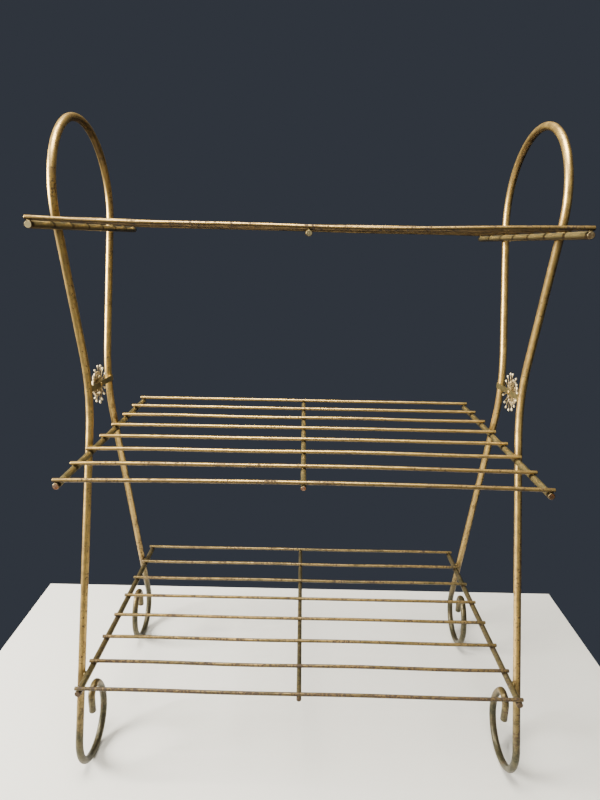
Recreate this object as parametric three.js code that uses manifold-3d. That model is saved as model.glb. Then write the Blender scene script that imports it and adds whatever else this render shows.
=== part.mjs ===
// A three-tier magazine rack of bent and welded steel rod.
// Millimetres, +Z up, front towards -Y. The origin is on the floor, under the middle of the rack.

import * as THREE from "three";
import { mergeVertices } from "three/addons/utils/BufferGeometryUtils.js";
import Module from "manifold-3d";

const wasm = await Module();
wasm.setup();

// Overall sizes.
const OVERALL_HEIGHT = 841;
const WIRE_LENGTH = 560;
const WIRE_PITCH = 50.4;
const WIRES_PER_SHELF = 8;

// Shelf heights, to the middle of the wires.
const BOTTOM_SHELF_HEIGHT = 147;
const TOP_SHELF_BELOW_TOP = 128;
const MIDDLE_SHELF_ABOVE_HALFWAY = 4;

// Rod and wire stock.
const FRAME_ROD_DIAMETER = 9.53;
const END_ROD_DIAMETER = 7.94;
const CENTRE_ROD_DIAMETER = 6.35;
const WIRE_DIAMETER = 4.76;
const CROSS_ROD_OVERHANG = 3;

// Space left between two pieces that a weld or a rivet joins.
const JOINT_GAP = 0.3;

// Side frame, along the middle of its rod.
const LOOP_RADIUS = 95;
const WAIST_HALF_GAP = 39.2;
const WAIST_ABOVE_MIDDLE_SHELF = 67;
const WAIST_BEND_RADIUS = 185;
const FOOT_REACH = 169.5;
const FOOT_RADIUS = 45;
const FOOT_RETURN_RADIUS = 58;
const FOOT_RETURN_TURN = 47;
const FOOT_CURL_RADIUS = 13;
const FOOT_TAIL_LENGTH = 20;

// Waist band, a flat strip hooked round the back rod and welded to the front rod.
const BAND_HEIGHT = 8;
const BAND_THICKNESS = 1.2;
const BAND_HOOK_OVERLAP = 20;
const BAND_SEAT_LENGTH = 16;
const BAND_SEAT_SET_IN = 2.5;

// Rosette on the outer side of each waist band.
const STAMEN_COUNT = 15;
const SPRAY_TIP_RADIUS = 27.5;
const SPRAY_HUB_RADIUS = 6;
const SPRAY_HUB_THICKNESS = 1.6;
const SPRAY_STEM_DIAMETER = 1.6;
const SPRAY_BEAD_DIAMETER = 4.2;
const SPRAY_BEAD_LENGTH = 7;
const SPRAY_RISE = 4.4;
const CUP_TIP_RADIUS = 17.5;
const CUP_HUB_RADIUS = 4.8;
const CUP_HUB_THICKNESS = 1.4;
const CUP_STEM_DIAMETER = 1.4;
const CUP_BEAD_DIAMETER = 2.8;
const CUP_BEAD_LENGTH = 4.5;
const CUP_RISE = 5;
const RIVET_SHANK_DIAMETER = 3.2;
const RIVET_HEAD_DIAMETER = 8.4;
const RIVET_HEAD_HEIGHT = 2.6;
const RIVET_TAIL_DIAMETER = 5.6;
const RIVET_TAIL_HEIGHT = 1.1;

// Fineness of the facets.
const FRAME_ROD_SIDES = 12;
const CROSS_ROD_SIDES = 12;
const WIRE_SIDES = 8;
const STEM_SIDES = 6;
const HUB_SIDES = 20;
const RIVET_SIDES = 14;
const LOOP_STEP = 8.8;
const WAIST_STEP = 6.6;
const FOOT_STEP = 12;
const CURL_STEP = 20;
const HOOK_STEP = 20;

// Finishes.
const FINISHES = {
  gilt: { color: 0xbd9c62, roughness: 0.5, metalness: 0.55 },
  gilt_wire: { color: 0xc7a76c, roughness: 0.5, metalness: 0.55 },
  gilt_shadow: { color: 0x8d784d, roughness: 0.6, metalness: 0.5 },
  pale_gilt: { color: 0xc9bfa4, roughness: 0.45, metalness: 0.6 },
};

const radians = THREE.MathUtils.degToRad;

const shelfHeights = (() => {
  const top = OVERALL_HEIGHT - TOP_SHELF_BELOW_TOP;
  const middle = (BOTTOM_SHELF_HEIGHT + top) / 2 + MIDDLE_SHELF_ABOVE_HALFWAY;
  return { bottom: BOTTOM_SHELF_HEIGHT, middle, top };
})();
const waistHeight = shelfHeights.middle + WAIST_ABOVE_MIDDLE_SHELF;

const frameRodRadius = FRAME_ROD_DIAMETER / 2;
const endRodOffset = WIRE_LENGTH / 2 - END_ROD_DIAMETER / 2;
const framePlane = WIRE_LENGTH / 2 + JOINT_GAP + frameRodRadius;
const outerWireOffset = ((WIRES_PER_SHELF - 1) * WIRE_PITCH) / 2;
const crossRodLength = 2 * (outerWireOffset + CROSS_ROD_OVERHANG);

// ---- Shared shapes ----

// Radius of the corners of a regular polygon whose flats are at the given radius.
function cornerRadius(flatRadius, sides) {
  return flatRadius / Math.cos(Math.PI / sides);
}

// A regular polygon with a flat at its lowest point.
function flatBottomedPolygon(flatRadius, sides) {
  const radius = cornerRadius(flatRadius, sides);
  const corners = [];
  for (let i = 0; i < sides; i++) {
    const angle = (2 * Math.PI * (i + 0.5)) / sides - Math.PI / 2;
    corners.push(new THREE.Vector2(radius * Math.cos(angle), radius * Math.sin(angle)));
  }
  return new THREE.Shape(corners);
}

// A straight rod of the given diameter, centred on the origin, along Z, with a flat towards -Y.
function straightRod(diameter, length, sides) {
  const geometry = new THREE.ExtrudeGeometry(flatBottomedPolygon(diameter / 2, sides), {
    depth: length,
    bevelEnabled: false,
  });
  return geometry.translate(0, 0, -length / 2);
}

function toSolid(geometry) {
  const bare = geometry.clone();
  bare.deleteAttribute("normal");
  bare.deleteAttribute("uv");
  const merged = mergeVertices(bare, 1e-4);
  const solid = new wasm.Manifold(
    new wasm.Mesh({
      numProp: 3,
      vertProperties: new Float32Array(merged.attributes.position.array),
      triVerts: new Uint32Array(merged.index.array),
    }),
  );
  return solid;
}

function fromSolid(solid) {
  const mesh = solid.getMesh();
  const geometry = new THREE.BufferGeometry();
  geometry.setAttribute("position", new THREE.BufferAttribute(mesh.vertProperties, 3));
  geometry.setIndex(new THREE.BufferAttribute(mesh.triVerts, 1));
  geometry.computeVertexNormals();
  return geometry;
}

function piece(name, geometry, finish) {
  const mesh = new THREE.Mesh(geometry, new THREE.MeshStandardMaterial(FINISHES[finish]));
  mesh.name = name;
  return mesh;
}

// ---- Side frame ----

// A rod path through stations, each a point and the direction of the rod there.
class BentRodPath extends THREE.Curve {
  constructor(stations) {
    super();
    this.stations = stations;
  }

  getUtoTmapping(u) {
    return u;
  }

  getPoint(t, target = new THREE.Vector3()) {
    const along = t * (this.stations.length - 1);
    const index = Math.min(Math.floor(along + 1e-9), this.stations.length - 2);
    return target.lerpVectors(
      this.stations[index].point,
      this.stations[index + 1].point,
      along - index,
    );
  }

  getTangent(t, target = new THREE.Vector3()) {
    const index = Math.round(t * (this.stations.length - 1));
    return target.copy(this.stations[index].direction);
  }
}

// Heading of the straight run from one bend to the next, which turn opposite ways.
// Headings are in degrees, anticlockwise from outwards.
function headingBetween(from, to, sign) {
  const across = to.centre.clone().sub(from.centre);
  const lean = Math.asin((from.radius + to.radius) / across.length());
  return THREE.MathUtils.radToDeg(across.angle() - 2 * Math.PI + sign * lean);
}

// Half of the side frame, from the top of the loop to the end of the foot's tail.
// The waist has an upright facet at its narrowest and the foot a level one at its lowest.
// Each station holds its distance out from the middle, its height and its heading.
function halfFrameStations() {
  const waistFlat = WAIST_BEND_RADIUS * Math.cos(radians(WAIST_STEP / 2));
  const footFlat = (FOOT_RADIUS + frameRodRadius) * Math.cos(radians(FOOT_STEP / 2));
  const loop = {
    centre: new THREE.Vector2(0, OVERALL_HEIGHT - frameRodRadius - LOOP_RADIUS),
    radius: LOOP_RADIUS,
  };
  const waist = {
    centre: new THREE.Vector2(WAIST_HALF_GAP + waistFlat, waistHeight),
    radius: WAIST_BEND_RADIUS,
  };
  const foot = {
    centre: new THREE.Vector2(FOOT_REACH - FOOT_RADIUS, footFlat),
    radius: FOOT_RADIUS,
  };
  const loopToWaist = headingBetween(loop, waist, -1);
  const waistToFoot = headingBetween(waist, foot, 1);

  const stations = [];
  // Adds the stations of a bend. A clockwise bend has turn -1.
  const bend = (centre, radius, turn, headings) => {
    for (const heading of headings) {
      const spoke = radians(heading) - (turn * Math.PI) / 2;
      const point = new THREE.Vector2(Math.cos(spoke), Math.sin(spoke));
      point.multiplyScalar(radius).add(centre);
      stations.push({ out: point.x, up: point.y, heading });
    }
  };
  // A bend that starts where the last one ends has its centre beside the last station.
  const centreBesideLast = (radius) => {
    const last = stations.at(-1);
    const toCentre = radians(last.heading - 90);
    return new THREE.Vector2(
      last.out + radius * Math.cos(toCentre),
      last.up + radius * Math.sin(toCentre),
    );
  };

  bend(loop.centre, loop.radius, -1, evenHeadings(0, loopToWaist, LOOP_STEP));
  bend(waist.centre, waist.radius, 1, straddlingHeadings(loopToWaist, waistToFoot, -90, WAIST_STEP));
  bend(foot.centre, foot.radius, -1, straddlingHeadings(waistToFoot, -270, -180, FOOT_STEP));

  const curlStart = -270 - FOOT_RETURN_TURN;
  bend(
    centreBesideLast(FOOT_RETURN_RADIUS),
    FOOT_RETURN_RADIUS,
    -1,
    evenHeadings(-270, curlStart, FOOT_STEP).slice(1),
  );
  bend(
    centreBesideLast(FOOT_CURL_RADIUS),
    FOOT_CURL_RADIUS,
    -1,
    evenHeadings(curlStart, -450, CURL_STEP).slice(1),
  );
  const last = stations.at(-1);
  stations.push({ out: last.out, up: last.up - FOOT_TAIL_LENGTH, heading: last.heading });
  return stations;
}

// Headings from first to last, evenly spaced and no more than step apart.
function evenHeadings(first, last, step) {
  const count = Math.ceil(Math.abs(last - first) / step - 1e-9);
  return Array.from({ length: count + 1 }, (_, i) => first + ((last - first) * i) / count);
}

// Headings whose facet at the middle heading lies square to it.
function straddlingHeadings(first, last, middle, step) {
  const halfStep = (Math.sign(last - first) * step) / 2;
  return [
    ...evenHeadings(first, middle - halfStep, step),
    ...evenHeadings(middle + halfStep, last, step),
  ];
}

// One bent rod in the plane x = 0, from the back foot's tail over the loop to the front foot's.
function sideFrame() {
  const half = halfFrameStations();
  const station = (side, { out, up, heading }) => ({
    point: new THREE.Vector3(0, -side * out, up),
    direction: new THREE.Vector3(
      0,
      -Math.cos(radians(heading)),
      side * Math.sin(radians(heading)),
    ),
  });
  const back = half.slice(1).reverse().map((s) => station(-1, s));
  const front = half.map((s) => station(1, s));
  const path = new BentRodPath([...back, ...front]);
  return new THREE.ExtrudeGeometry(flatBottomedPolygon(frameRodRadius, FRAME_ROD_SIDES), {
    extrudePath: path,
    steps: path.stations.length - 1,
  });
}

// ---- Waist band ----

// The two sides of a strip that follows a line of points.
function stripOutline(points, thickness) {
  const left = [];
  const right = [];
  points.forEach((point, i) => {
    const before = points[Math.max(i - 1, 0)];
    const after = points[Math.min(i + 1, points.length - 1)];
    const arriving = point.clone().sub(before);
    const leaving = after.clone().sub(point);
    const direction = arriving.normalize().add(leaving.normalize()).normalize();
    const step = leaving.lengthSq() > 0 ? leaving : arriving;
    const stretch = 1 / Math.abs(direction.dot(step));
    const across = new THREE.Vector2(-direction.y, direction.x);
    across.multiplyScalar((stretch * thickness) / 2);
    left.push(point.clone().add(across));
    right.unshift(point.clone().sub(across));
  });
  return new THREE.Shape([...left, ...right]);
}

// Centred on the frame's plane, with the outer side towards side * X.
function waistBand(side) {
  const rodClearance = cornerRadius(frameRodRadius, FRAME_ROD_SIDES) + JOINT_GAP;
  const hookRadius = (rodClearance + BAND_THICKNESS / 2) / Math.cos(radians(HOOK_STEP / 2));
  const points = evenHeadings(-BAND_HOOK_OVERLAP, 180, HOOK_STEP).map(
    (angle) =>
      new THREE.Vector2(
        hookRadius * Math.cos(radians(angle)),
        WAIST_HALF_GAP + hookRadius * Math.sin(radians(angle)),
      ),
  );
  points.push(
    new THREE.Vector2(-BAND_SEAT_SET_IN, BAND_SEAT_LENGTH / 2),
    new THREE.Vector2(-BAND_SEAT_SET_IN, -BAND_SEAT_LENGTH / 2),
    new THREE.Vector2(0, -WAIST_HALF_GAP + rodClearance),
  );
  const outline = stripOutline(
    points.map((point) => new THREE.Vector2(side * point.x, point.y)),
    BAND_THICKNESS,
  );
  const strip = new THREE.ExtrudeGeometry(outline, { depth: BAND_HEIGHT, bevelEnabled: false });
  strip.translate(0, 0, -BAND_HEIGHT / 2);
  const hole = straightRod(
    RIVET_SHANK_DIAMETER + 2 * JOINT_GAP,
    BAND_SEAT_LENGTH,
    RIVET_SIDES,
  ).rotateY(Math.PI / 2);
  return fromSolid(toSolid(strip).subtract(toSolid(hole)));
}

// ---- Rosette ----
// Each piece is made round the Z axis, with +Z outwards, and zero on the middle of the band's seat.

const sprayHubBase = BAND_THICKNESS / 2 + JOINT_GAP;
const sprayHubTop = sprayHubBase + SPRAY_HUB_THICKNESS;
const cupHubBase = sprayHubTop + JOINT_GAP;
const cupHubTop = cupHubBase + CUP_HUB_THICKNESS;
const rivetHeadBase = cupHubTop + JOINT_GAP;
const rivetTailTop = -BAND_THICKNESS / 2 - JOINT_GAP;

function ring(outerRadius, innerRadius, thickness, sides) {
  const circle = (radius) =>
    Array.from({ length: sides }, (_, i) => {
      const angle = (2 * Math.PI * i) / sides;
      return new THREE.Vector2(radius * Math.cos(angle), radius * Math.sin(angle));
    });
  const outline = new THREE.Shape(circle(outerRadius));
  outline.holes.push(new THREE.Path(circle(innerRadius)));
  return new THREE.ExtrudeGeometry(outline, { depth: thickness, bevelEnabled: false });
}

// A stamen along +X: a thin stem that ends in a teardrop bead, turned about its own axis.
function stamen(startRadius, tipRadius, stemDiameter, beadDiameter, beadLength) {
  const stem = stemDiameter / 2;
  const bead = beadDiameter / 2;
  const neck = tipRadius - beadLength;
  const profile = [
    [0, startRadius],
    [stem, startRadius],
    [stem, neck],
    [bead, neck + 0.55 * beadLength],
    [0.8 * bead, neck + 0.85 * beadLength],
    [0, tipRadius],
  ].map(([radius, along]) => new THREE.Vector2(radius, along));
  return new THREE.LatheGeometry(profile, STEM_SIDES).rotateZ(-Math.PI / 2);
}

// A hub with a ring of stamens that rise outwards from it, like the inside of a shallow dish.
function dish(hubRadius, hubBase, hubThickness, rise, firstAngle, stem) {
  const hole = RIVET_SHANK_DIAMETER / 2 + JOINT_GAP;
  const hub = ring(hubRadius, hole, hubThickness, HUB_SIDES).translate(0, 0, hubBase);
  const startRadius = hubRadius - stem.diameter / 2;
  const tilt = Math.atan(rise / (stem.tipRadius - startRadius));
  let solid = toSolid(hub);
  for (let i = 0; i < STAMEN_COUNT; i++) {
    const one = stamen(
      startRadius,
      startRadius + (stem.tipRadius - startRadius) / Math.cos(tilt),
      stem.diameter,
      stem.beadDiameter,
      stem.beadLength,
    );
    one.translate(-startRadius, 0, 0).rotateY(-tilt).translate(startRadius, 0, 0);
    one.translate(0, 0, hubBase + hubThickness / 2);
    one.rotateZ(firstAngle + (2 * Math.PI * i) / STAMEN_COUNT);
    solid = solid.add(toSolid(one));
  }
  return fromSolid(solid);
}

function rosetteSpray() {
  return dish(SPRAY_HUB_RADIUS, sprayHubBase, SPRAY_HUB_THICKNESS, SPRAY_RISE, Math.PI / 2, {
    tipRadius: SPRAY_TIP_RADIUS,
    diameter: SPRAY_STEM_DIAMETER,
    beadDiameter: SPRAY_BEAD_DIAMETER,
    beadLength: SPRAY_BEAD_LENGTH,
  });
}

// The inner stamens stand between the outer ones.
function rosetteCup() {
  const halfStep = Math.PI / STAMEN_COUNT;
  return dish(CUP_HUB_RADIUS, cupHubBase, CUP_HUB_THICKNESS, CUP_RISE, Math.PI / 2 + halfStep, {
    tipRadius: CUP_TIP_RADIUS,
    diameter: CUP_STEM_DIAMETER,
    beadDiameter: CUP_BEAD_DIAMETER,
    beadLength: CUP_BEAD_LENGTH,
  });
}

// A domed head outside, a shank through the stack and a flatter tail behind the band.
function rosetteRivet() {
  const shank = RIVET_SHANK_DIAMETER / 2;
  const head = RIVET_HEAD_DIAMETER / 2;
  const tail = RIVET_TAIL_DIAMETER / 2;
  const profile = [
    [0, rivetTailTop - RIVET_TAIL_HEIGHT],
    [0.8 * tail, rivetTailTop - RIVET_TAIL_HEIGHT],
    [tail, rivetTailTop - 0.5 * RIVET_TAIL_HEIGHT],
    [tail, rivetTailTop],
    [shank, rivetTailTop],
    [shank, rivetHeadBase],
    [head, rivetHeadBase],
    [0.9 * head, rivetHeadBase + 0.45 * RIVET_HEAD_HEIGHT],
    [0.55 * head, rivetHeadBase + 0.85 * RIVET_HEAD_HEIGHT],
    [0, rivetHeadBase + RIVET_HEAD_HEIGHT],
  ].map(([radius, along]) => new THREE.Vector2(radius, along));
  return new THREE.LatheGeometry(profile, RIVET_SIDES).rotateX(Math.PI / 2);
}

// ---- Shelves ----

function shelf(name, wireHeight) {
  const group = new THREE.Group();
  const rodHeight = (diameter) => wireHeight - WIRE_DIAMETER / 2 - JOINT_GAP - diameter / 2;
  const crossRod = (rodName, diameter, x, finish) => {
    const geometry = straightRod(diameter, crossRodLength, CROSS_ROD_SIDES).rotateX(-Math.PI / 2);
    const rod = piece(`${name}_shelf_${rodName}`, geometry, finish);
    rod.position.set(x, 0, rodHeight(diameter));
    group.add(rod);
  };
  crossRod("end_rod_left", END_ROD_DIAMETER, -endRodOffset, "gilt_shadow");
  crossRod("centre_rod", CENTRE_ROD_DIAMETER, 0, "gilt_shadow");
  crossRod("end_rod_right", END_ROD_DIAMETER, endRodOffset, "gilt_shadow");

  for (let i = 0; i < WIRES_PER_SHELF; i++) {
    const geometry = straightRod(WIRE_DIAMETER, WIRE_LENGTH, WIRE_SIDES).rotateY(Math.PI / 2);
    const wire = piece(`${name}_shelf_wire_${i + 1}`, geometry, "gilt_wire");
    wire.position.set(0, -outerWireOffset + i * WIRE_PITCH, wireHeight);
    group.add(wire);
  }
  return group;
}

// ---- Assembly ----

function side(name, sign) {
  const group = new THREE.Group();
  group.position.x = sign * framePlane;
  group.add(piece(`side_frame_${name}`, sideFrame(), "gilt"));

  const band = piece(`waist_band_${name}`, waistBand(sign), "gilt_shadow");
  band.position.z = waistHeight;
  group.add(band);

  const rosette = new THREE.Group();
  rosette.position.set(-sign * BAND_SEAT_SET_IN, 0, waistHeight);
  rosette.rotation.y = (sign * Math.PI) / 2;
  rosette.add(
    piece(`rosette_spray_${name}`, rosetteSpray(), "pale_gilt"),
    piece(`rosette_cup_${name}`, rosetteCup(), "pale_gilt"),
    piece(`rosette_rivet_${name}`, rosetteRivet(), "gilt"),
  );
  group.add(rosette);
  return group;
}

const rack = new THREE.Group();
rack.add(side("left", -1), side("right", 1));
for (const [name, height] of Object.entries(shelfHeights)) rack.add(shelf(name, height));

export default rack;
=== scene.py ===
# %% [markdown]
# # A three-tier magazine rack in bent and welded steel rod
#
# The rack is made from two bent side frames and three shelves of straight wire.
# A flower rosette hangs from a strip at the waist of each frame.
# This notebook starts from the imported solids, which say where every piece goes and how big it is.
# It then makes a finer piece for each of them: true round rod, cut ends, weld beads and aged gold paint.

# %% Load the solids and keep the size of their box
import math

import bpy
import numpy as np
from mathutils import Matrix, Vector


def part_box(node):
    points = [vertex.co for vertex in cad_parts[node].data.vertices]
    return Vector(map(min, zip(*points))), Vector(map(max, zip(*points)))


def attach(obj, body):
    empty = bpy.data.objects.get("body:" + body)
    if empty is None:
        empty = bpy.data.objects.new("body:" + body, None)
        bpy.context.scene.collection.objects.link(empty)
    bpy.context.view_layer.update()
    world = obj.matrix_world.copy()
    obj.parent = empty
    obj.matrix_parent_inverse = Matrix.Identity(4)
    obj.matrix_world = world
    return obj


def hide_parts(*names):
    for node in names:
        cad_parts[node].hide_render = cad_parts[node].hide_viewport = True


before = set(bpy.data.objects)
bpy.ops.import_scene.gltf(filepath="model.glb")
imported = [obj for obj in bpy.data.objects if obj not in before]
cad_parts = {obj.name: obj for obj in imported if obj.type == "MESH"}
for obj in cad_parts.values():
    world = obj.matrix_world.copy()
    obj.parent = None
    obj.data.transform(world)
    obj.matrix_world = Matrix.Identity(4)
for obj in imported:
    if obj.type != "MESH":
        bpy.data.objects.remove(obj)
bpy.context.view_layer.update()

scene = bpy.context.scene
SHELVES = ("bottom", "middle", "top")
SIDES = {"left": -1, "right": 1}
MM = 0.001

# %% [markdown]
# ## The camera
#
# The camera stands in front of the rack at about the height of the top shelf, and looks a little down.
# A wide lens this close makes the near feet large and shows the side frames from their inner sides.
# The camera comes first, so that every later piece can be looked at as soon as it is made.
# Its three turns are written as pitch, yaw and roll, because those are what one would set on a tripod.

# %% Place the camera
CAMERA_PLACE = Vector((-0.0049, -0.7521, 0.6915))
CAMERA_PITCH, CAMERA_YAW, CAMERA_ROLL = (math.radians(a) for a in (15.45, 0.10, 1.13))
SENSOR_HEIGHT = 36.0
LENS = 25.2


def placed(name, data):
    """A new object in the scene, at its origin."""
    thing = bpy.data.objects.new(name, data)
    scene.collection.objects.link(thing)
    return thing


lens = bpy.data.cameras.new("camera")
lens.sensor_fit = "VERTICAL"
lens.sensor_height = SENSOR_HEIGHT
lens.lens = LENS
camera = placed("camera", lens)
level = Matrix.Rotation(math.pi / 2, 4, "X")
camera.matrix_world = (
    Matrix.Translation(CAMERA_PLACE)
    @ Matrix.Rotation(CAMERA_YAW, 4, "Z")
    @ Matrix.Rotation(-CAMERA_PITCH, 4, "X")
    @ level
    @ Matrix.Rotation(CAMERA_ROLL, 4, "Z")
)
scene.camera = camera
print("camera looks along", [round(v, 3) for v in camera.matrix_world.to_3x3() @ Vector((0, 0, -1))])

# %% [markdown]
# ## Writing node trees as sums
#
# Both paint and shape are made with node trees here.
# A tree could be clicked together by hand, but a written one can be read, repeated and changed.
# One small class wraps an output socket, so that `1 - mask * 0.5` adds its own Math nodes.
# A second class wraps the tree and adds any other node: settings go in first, then values or links.

# %% A socket that can be added and multiplied
class Value:
    """An output socket. Each operator adds the Math node that it stands for."""

    def __init__(self, tree, socket):
        self.tree = tree
        self.socket = socket

    def __add__(self, other):
        return self.tree.math("ADD", self, other)

    def __radd__(self, other):
        return self.tree.math("ADD", other, self)

    def __sub__(self, other):
        return self.tree.math("SUBTRACT", self, other)

    def __rsub__(self, other):
        return self.tree.math("SUBTRACT", other, self)

    def __mul__(self, other):
        return self.tree.math("MULTIPLY", self, other)

    def __rmul__(self, other):
        return self.tree.math("MULTIPLY", other, self)

    def __truediv__(self, other):
        return self.tree.math("DIVIDE", self, other)

    def __pow__(self, other):
        return self.tree.math("POWER", self, other)

    def __abs__(self):
        return self.tree.math("ABSOLUTE", self)

    def output(self, name):
        """Another output of the node that this one comes from."""
        return Value(self.tree, self.socket.node.outputs[name])


# %% A tree that adds nodes
class Tree:
    """A node tree that is being written."""

    def __init__(self, nodes_and_links):
        self.group = nodes_and_links

    def add(self, kind, settings=None, inputs=None, output=0):
        """Adds a node of that kind: its settings first, then a value or a link for each input."""
        node = self.group.nodes.new(kind)
        for name, value in (settings or {}).items():
            setattr(node, name, value)
        for key, value in (inputs or {}).items():
            if isinstance(value, Value):
                self.group.links.new(value.socket, node.inputs[key])
            else:
                node.inputs[key].default_value = value
        return Value(self, node.outputs[output])

    def math(self, operation, *operands):
        """A Math node on one, two or three values."""
        return self.add("ShaderNodeMath", {"operation": operation}, dict(enumerate(operands)))

    def join(self, *geometries):
        """All these geometries as one."""
        node = self.group.nodes.new("GeometryNodeJoinGeometry")
        for geometry in geometries:
            self.group.links.new(geometry.socket, node.inputs[0])
        return Value(self, node.outputs[0])

    def vector(self, x=0.0, y=0.0, z=0.0):
        """A vector from three numbers or values."""
        return self.add("ShaderNodeCombineXYZ", inputs={"X": x, "Y": y, "Z": z})

    def parts(self, vector):
        """The three numbers of a vector."""
        x = self.add("ShaderNodeSeparateXYZ", inputs={0: vector})
        return x, x.output("Y"), x.output("Z")

    def rise(self, value, low, high):
        """0 below low, 1 above high, and a smooth step between them."""
        inputs = {"Value": value, "From Min": low, "From Max": high}
        return self.add("ShaderNodeMapRange", {"interpolation_type": "SMOOTHSTEP"}, inputs)

    def blend(self, factor, first, second):
        """A mix of two colours."""
        first = first if isinstance(first, Value) else (*first, 1.0)
        second = second if isinstance(second, Value) else (*second, 1.0)
        return self.add("ShaderNodeMix", {"data_type": "RGBA"}, {0: factor, 6: first, 7: second}, output=2)


# %% [markdown]
# ## Shapes from Geometry Nodes
#
# Rod and wire are one section that follows a path, and shelves and rosettes are one shape that repeats.
# Geometry Nodes are made for both: the path or the count goes in, and the finished surface comes out.
# Each tree below has named inputs for its sizes. Its last two nodes make copies real and give the material.
# The helper `grow` runs a tree once and keeps the result as a plain mesh, so nothing live is left.

# %% Start, end and run a shape tree
def shape_tree(name, sizes, counts=()):
    """A Geometry Nodes tree with a geometry input and a named input for each size and count."""
    group = bpy.data.node_groups.new(name, "GeometryNodeTree")
    kinds = {"Geometry": "Geometry", **dict.fromkeys(sizes, "Float"), **dict.fromkeys(counts, "Int")}
    for label, kind in {**kinds, "Material": "Material"}.items():
        group.interface.new_socket(label, in_out="INPUT", socket_type=f"NodeSocket{kind}")
    group.interface.new_socket("Geometry", in_out="OUTPUT", socket_type="NodeSocketGeometry")
    tree = Tree(group)
    entry = group.nodes.new("NodeGroupInput")
    given = {socket.name: Value(tree, socket) for socket in entry.outputs if socket.name}
    return tree, given


def end_shape(tree, given, geometry):
    """Makes copies real, smooths the surface and gives it the material."""
    real = tree.add("GeometryNodeRealizeInstances", inputs={"Geometry": geometry})
    smooth = tree.add("GeometryNodeSetShadeSmooth", inputs={"Geometry": real})
    painted = tree.add(
        "GeometryNodeSetMaterial", inputs={"Geometry": smooth, "Material": given["Material"]}
    )
    exit_node = tree.group.nodes.new("NodeGroupOutput")
    tree.group.links.new(painted.socket, exit_node.inputs["Geometry"])
    print(tree.group.name, "tree:", len(tree.group.nodes), "nodes")


def grow(name, tree, sizes, start=None):
    """Runs a tree on a start mesh with these sizes and returns the result as a plain piece."""
    base = placed(name + "_start", start or bpy.data.meshes.new(name + "_start"))
    modifier = base.modifiers.new("shape", "NODES")
    modifier.node_group = tree.group
    sockets = [s for s in tree.group.interface.items_tree if s.in_out == "INPUT"]
    identifiers = {socket.name: socket.identifier for socket in sockets}
    for label, value in sizes.items():
        modifier[identifiers[label]] = value
    depsgraph = bpy.context.evaluated_depsgraph_get()
    mesh = bpy.data.meshes.new_from_object(
        base.evaluated_get(depsgraph), preserve_all_data_layers=True, depsgraph=depsgraph
    )
    bpy.data.objects.remove(base)
    mesh.name = name
    return placed(name, mesh)


def path_mesh(name, points, girths):
    """A start mesh of one line through the points, with how thick the rod is at each."""
    mesh = bpy.data.meshes.new(name)
    mesh.from_pydata([tuple(p) for p in points], [(i, i + 1) for i in range(len(points) - 1)], [])
    girth = mesh.attributes.new("girth", "FLOAT", "POINT")
    girth.data.foreach_set("value", girths)
    return mesh


# %% [markdown]
# ## Aged gold paint
#
# The rod was sprayed gold long ago. Where the paint is whole it is pale and creamy.
# Where it is thin it is tan or brown, and the undersides are painted dark brown as painted shade.
# Small dark and coppery specks show where it has chipped, and near the floor it is a dull olive.
# Some pieces add a mask of their own: soot by the welds, places rubbed by use, and bare sawn ends.
# One function mixes these layers for every piece, so that all pieces look like one pot of paint.
# It reads Object coordinates, so the pattern is fixed to the metal and has the same scale on all pieces.

# %% Colours of the paint
CREAM = (0.95, 0.64, 0.19)
TAN_GOLD = (0.63, 0.425, 0.15)
BROWN = (0.215, 0.142, 0.066)
# Painted shade for undersides, and also the worn colour of the weld beads.
SHADE_AND_WORN_BROWN = (0.055, 0.035, 0.018)
COPPER = (0.075, 0.038, 0.022)
DARK = (0.05, 0.035, 0.028)
FOOT_OLIVE = (0.095, 0.082, 0.045)
FOOT_GREEN = (0.038, 0.037, 0.02)
# Weld soot, and painted contact shadow under the wires on the shelf rods.
SOOT_AND_SHADOW_COLOUR = (0.07, 0.045, 0.026)
OLIVE_LIGHT = (0.50, 0.41, 0.18)
OLIVE_GOLD = (0.35, 0.28, 0.12)
OLIVE_BROWN = (0.15, 0.105, 0.042)
print("gold goes from", CREAM, "through", TAN_GOLD, "to", BROWN)

# %% Start and end a paint
BUMP_DEPTH = 0.3 * MM


def new_paint(name):
    """An empty material, its tree, and the place on the metal."""
    material = bpy.data.materials.new(name)
    material.use_nodes = True
    material.node_tree.nodes.clear()
    tree = Tree(material.node_tree)
    return material, tree, tree.add("ShaderNodeTexCoord").output("Object")


def end_paint(material, tree, inputs, height, strength):
    """Gives the material a shader with these inputs, and a bump of that strength from a height map."""
    bump = tree.add(
        "ShaderNodeBump", inputs={"Strength": strength, "Distance": BUMP_DEPTH, "Height": height}
    )
    shader = tree.add("ShaderNodeBsdfPrincipled", inputs={**inputs, "Normal": bump})
    exit_node = tree.group.nodes.new("ShaderNodeOutputMaterial")
    tree.group.links.new(shader.socket, exit_node.inputs["Surface"])
    print(material.name, "paint:", len(tree.group.nodes), "nodes")
    return material


def noise(tree, place, size, detail=3.0, roughness=0.55):
    """Cloudy noise whose clouds are about size metres across."""
    inputs = {"Vector": place, "Scale": 1.0 / size, "Detail": detail, "Roughness": roughness}
    return tree.add("ShaderNodeTexNoise", inputs=inputs)


def facing(tree):
    """Which way the surface faces, as three numbers."""
    return tree.parts(tree.add("ShaderNodeNewGeometry").output("Normal"))


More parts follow.
